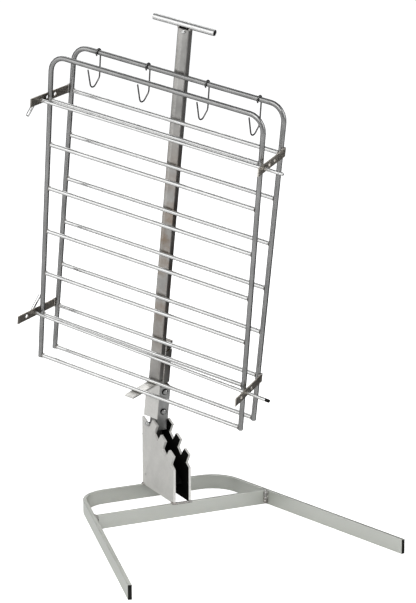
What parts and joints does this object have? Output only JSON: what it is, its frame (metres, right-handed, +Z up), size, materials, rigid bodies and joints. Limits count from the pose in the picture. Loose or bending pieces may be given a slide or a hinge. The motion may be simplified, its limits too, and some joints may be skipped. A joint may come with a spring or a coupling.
{
  "type": "standing roasting rack",
  "caption": "Steel roasting rack on a U base: a mast that leans in a toothed bracket and turns, carrying paired wire grids with locking rods and hooks.",
  "frame": {"origin": "middle of the cross bar's underside, on the ground", "axes": "+Z up, -Y towards the open ends of the legs, +X to the right seen from the front"},
  "size_m": [0.695, 0.8025, 1.2124],
  "materials": {
    "base_steel": "satin flat bar with mill grain",
    "bracket_steel": "matt cut plate, light grey",
    "brushed_steel": "brushed along the length, heat tint near welds",
    "polished_steel": "bright drawn rod",
    "dark_steel": "dark brown-grey mill finish",
    "bronze": "machined bearing bronze"
  },
  "bodies": {
    "base": {"base_bow": "base_steel", "cross_bar": "base_steel", "left_toothed_plate": "bracket_steel", "right_toothed_plate": "bracket_steel", "stop_web": "dark_steel"},
    "foot": {"cross_pin": "polished_steel", "pin_clip": "polished_steel", "foot_tube": "brushed_steel", "foot_cap": "brushed_steel", "foot_tongue": "bracket_steel", "foot_bolt_lower": "polished_steel", "foot_bolt_upper": "polished_steel", "swivel_shaft": "polished_steel", "thrust_washer": "bronze"},
    "mast": {"bearing_tube": "brushed_steel", "lower_bush": "bronze", "upper_bush": "bronze", "bearing_cap": "brushed_steel", "mast_tube": "brushed_steel", "front_plate": "bracket_steel", "rest_tab": "bracket_steel", "t_handle": "polished_steel", "handle_bolt": "polished_steel", "back_frame": "brushed_steel", "back_rod_1": "polished_steel", "back_rod_2": "polished_steel", "back_rod_3": "polished_steel", "back_rod_4": "polished_steel", "back_rod_5": "polished_steel", "back_rod_6": "polished_steel", "back_bottom_rod": "polished_steel", "left_top_strip": "dark_steel", "left_bottom_strip": "dark_steel", "right_top_strip": "dark_steel", "right_bottom_strip": "dark_steel"},
    "front_grid": {"front_frame": "brushed_steel", "front_rod_1": "polished_steel", "front_rod_2": "polished_steel", "front_rod_3": "polished_steel", "front_rod_4": "polished_steel", "front_rod_5": "polished_steel", "front_rod_6": "polished_steel", "front_bottom_rod": "polished_steel"},
    "top_lock": {"top_locking_rod": "polished_steel", "top_rod_cap": "dark_steel"},
    "bottom_lock": {"bottom_locking_rod": "polished_steel", "bottom_rod_cap": "dark_steel"},
    "hook_1": {"hook_1": "dark_steel"},
    "hook_2": {"hook_2": "dark_steel"},
    "hook_3": {"hook_3": "dark_steel"},
    "hook_4": {"hook_4": "dark_steel"}
  },
  "joints": [
    {"name": "mast_lean", "type": "hinge", "parent": "base", "child": "foot", "pos_m": [0, 0.13425, 0.198], "axis": [1, 0, 0], "range_deg": [-20, 0]},
    {"name": "mast_turn", "type": "hinge", "parent": "foot", "child": "mast", "pos_m": [0, 0.10529, 0.34518], "axis": [0, -0.193, 0.9812], "continuous": true},
    {"name": "front_grid_slide", "type": "slide", "parent": "mast", "child": "front_grid", "axis": [-0.8517, -0.5141, -0.1011], "range_m": [-0.025, 0.004]},
    {"name": "top_lock_slide", "type": "slide", "parent": "mast", "child": "top_lock", "axis": [-0.524, 0.8357, 0.1644], "range_m": [0, 0.62]},
    {"name": "bottom_lock_slide", "type": "slide", "parent": "mast", "child": "bottom_lock", "axis": [-0.5239, 0.8321, 0.1822], "range_m": [0, 0.62]},
    {"name": "hook_1_swing", "type": "hinge", "parent": "mast", "child": "hook_1", "pos_m": [-0.15071, 0.12327, 1.11156], "axis": [0.524, -0.8357, -0.1644], "range_deg": [-25, 25]},
    {"name": "hook_2_swing", "type": "hinge", "parent": "mast", "child": "hook_2", "pos_m": [-0.07787, 0.00711, 1.08871], "axis": [0.524, -0.8357, -0.1644], "range_deg": [-25, 25]},
    {"name": "hook_3_swing", "type": "hinge", "parent": "mast", "child": "hook_3", "pos_m": [0.00701, -0.12827, 1.06208], "axis": [0.524, -0.8357, -0.1644], "range_deg": [-25, 25]},
    {"name": "hook_4_swing", "type": "hinge", "parent": "mast", "child": "hook_4", "pos_m": [0.07984, -0.24444, 1.03922], "axis": [0.524, -0.8357, -0.1644], "range_deg": [-25, 25]}
  ]
}
